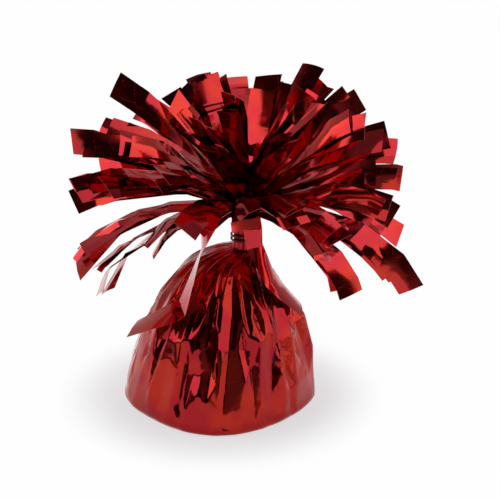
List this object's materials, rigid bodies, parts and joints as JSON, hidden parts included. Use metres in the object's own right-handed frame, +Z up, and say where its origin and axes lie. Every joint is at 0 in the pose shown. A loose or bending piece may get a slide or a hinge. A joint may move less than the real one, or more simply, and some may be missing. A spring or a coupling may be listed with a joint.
{
  "type": "balloon weight",
  "caption": "Heavy cone wrapped in metallised film, gathered and wire-tied at the neck, with slit film strips fanning out above.",
  "frame": {"origin": "centre of the round base, on the floor", "axes": "+Z up, +X to the right in the picture, +Y away from the viewer; the neck leans over towards +X"},
  "size_m": [0.1228, 0.1078, 0.1142],
  "materials": {
    "film_red": "polished",
    "strip_red": "polished",
    "moulded_white": "satin",
    "cast_grey": "matte",
    "tie_red": "gloss"
  },
  "bodies": {
    "root": {"base_plate": "moulded_white", "weight_shell": "moulded_white", "weight_fill": "cast_grey", "inner_film": "film_red", "outer_film": "film_red", "wire_tie": "tie_red", "left_shoulder_strip": "strip_red", "right_shoulder_strip": "strip_red", "low_strip_01": "strip_red", "low_strip_02": "strip_red", "low_strip_03": "strip_red", "low_strip_04": "strip_red", "low_strip_05": "strip_red", "low_strip_06": "strip_red", "low_strip_07": "strip_red", "low_strip_08": "strip_red", "low_strip_09": "strip_red", "low_strip_10": "strip_red", "low_strip_11": "strip_red", "low_strip_12": "strip_red", "low_strip_13": "strip_red", "low_strip_15": "strip_red", "low_strip_16": "strip_red", "low_strip_18": "strip_red", "low_strip_19": "strip_red", "low_strip_20": "strip_red", "middle_strip_01": "strip_red", "middle_strip_02": "strip_red", "middle_strip_03": "strip_red", "middle_strip_04": "strip_red", "middle_strip_05": "strip_red", "middle_strip_06": "strip_red", "middle_strip_07": "strip_red", "middle_strip_08": "strip_red", "middle_strip_09": "strip_red", "middle_strip_10": "strip_red", "middle_strip_11": "strip_red", "middle_strip_12": "strip_red", "middle_strip_13": "strip_red", "middle_strip_14": "strip_red", "middle_strip_15": "strip_red", "middle_strip_16": "strip_red", "upper_strip_01": "strip_red", "upper_strip_02": "strip_red", "upper_strip_03": "strip_red", "upper_strip_04": "strip_red", "upper_strip_05": "strip_red", "upper_strip_06": "strip_red", "upper_strip_07": "strip_red", "upper_strip_08": "strip_red", "upper_strip_09": "strip_red", "upper_strip_10": "strip_red", "upper_strip_11": "strip_red", "upper_strip_12": "strip_red", "crown_strip_01": "strip_red", "crown_strip_02": "strip_red", "crown_strip_03": "strip_red", "crown_strip_04": "strip_red", "crown_strip_05": "strip_red", "crown_strip_06": "strip_red"}
  },
  "joints": []
}
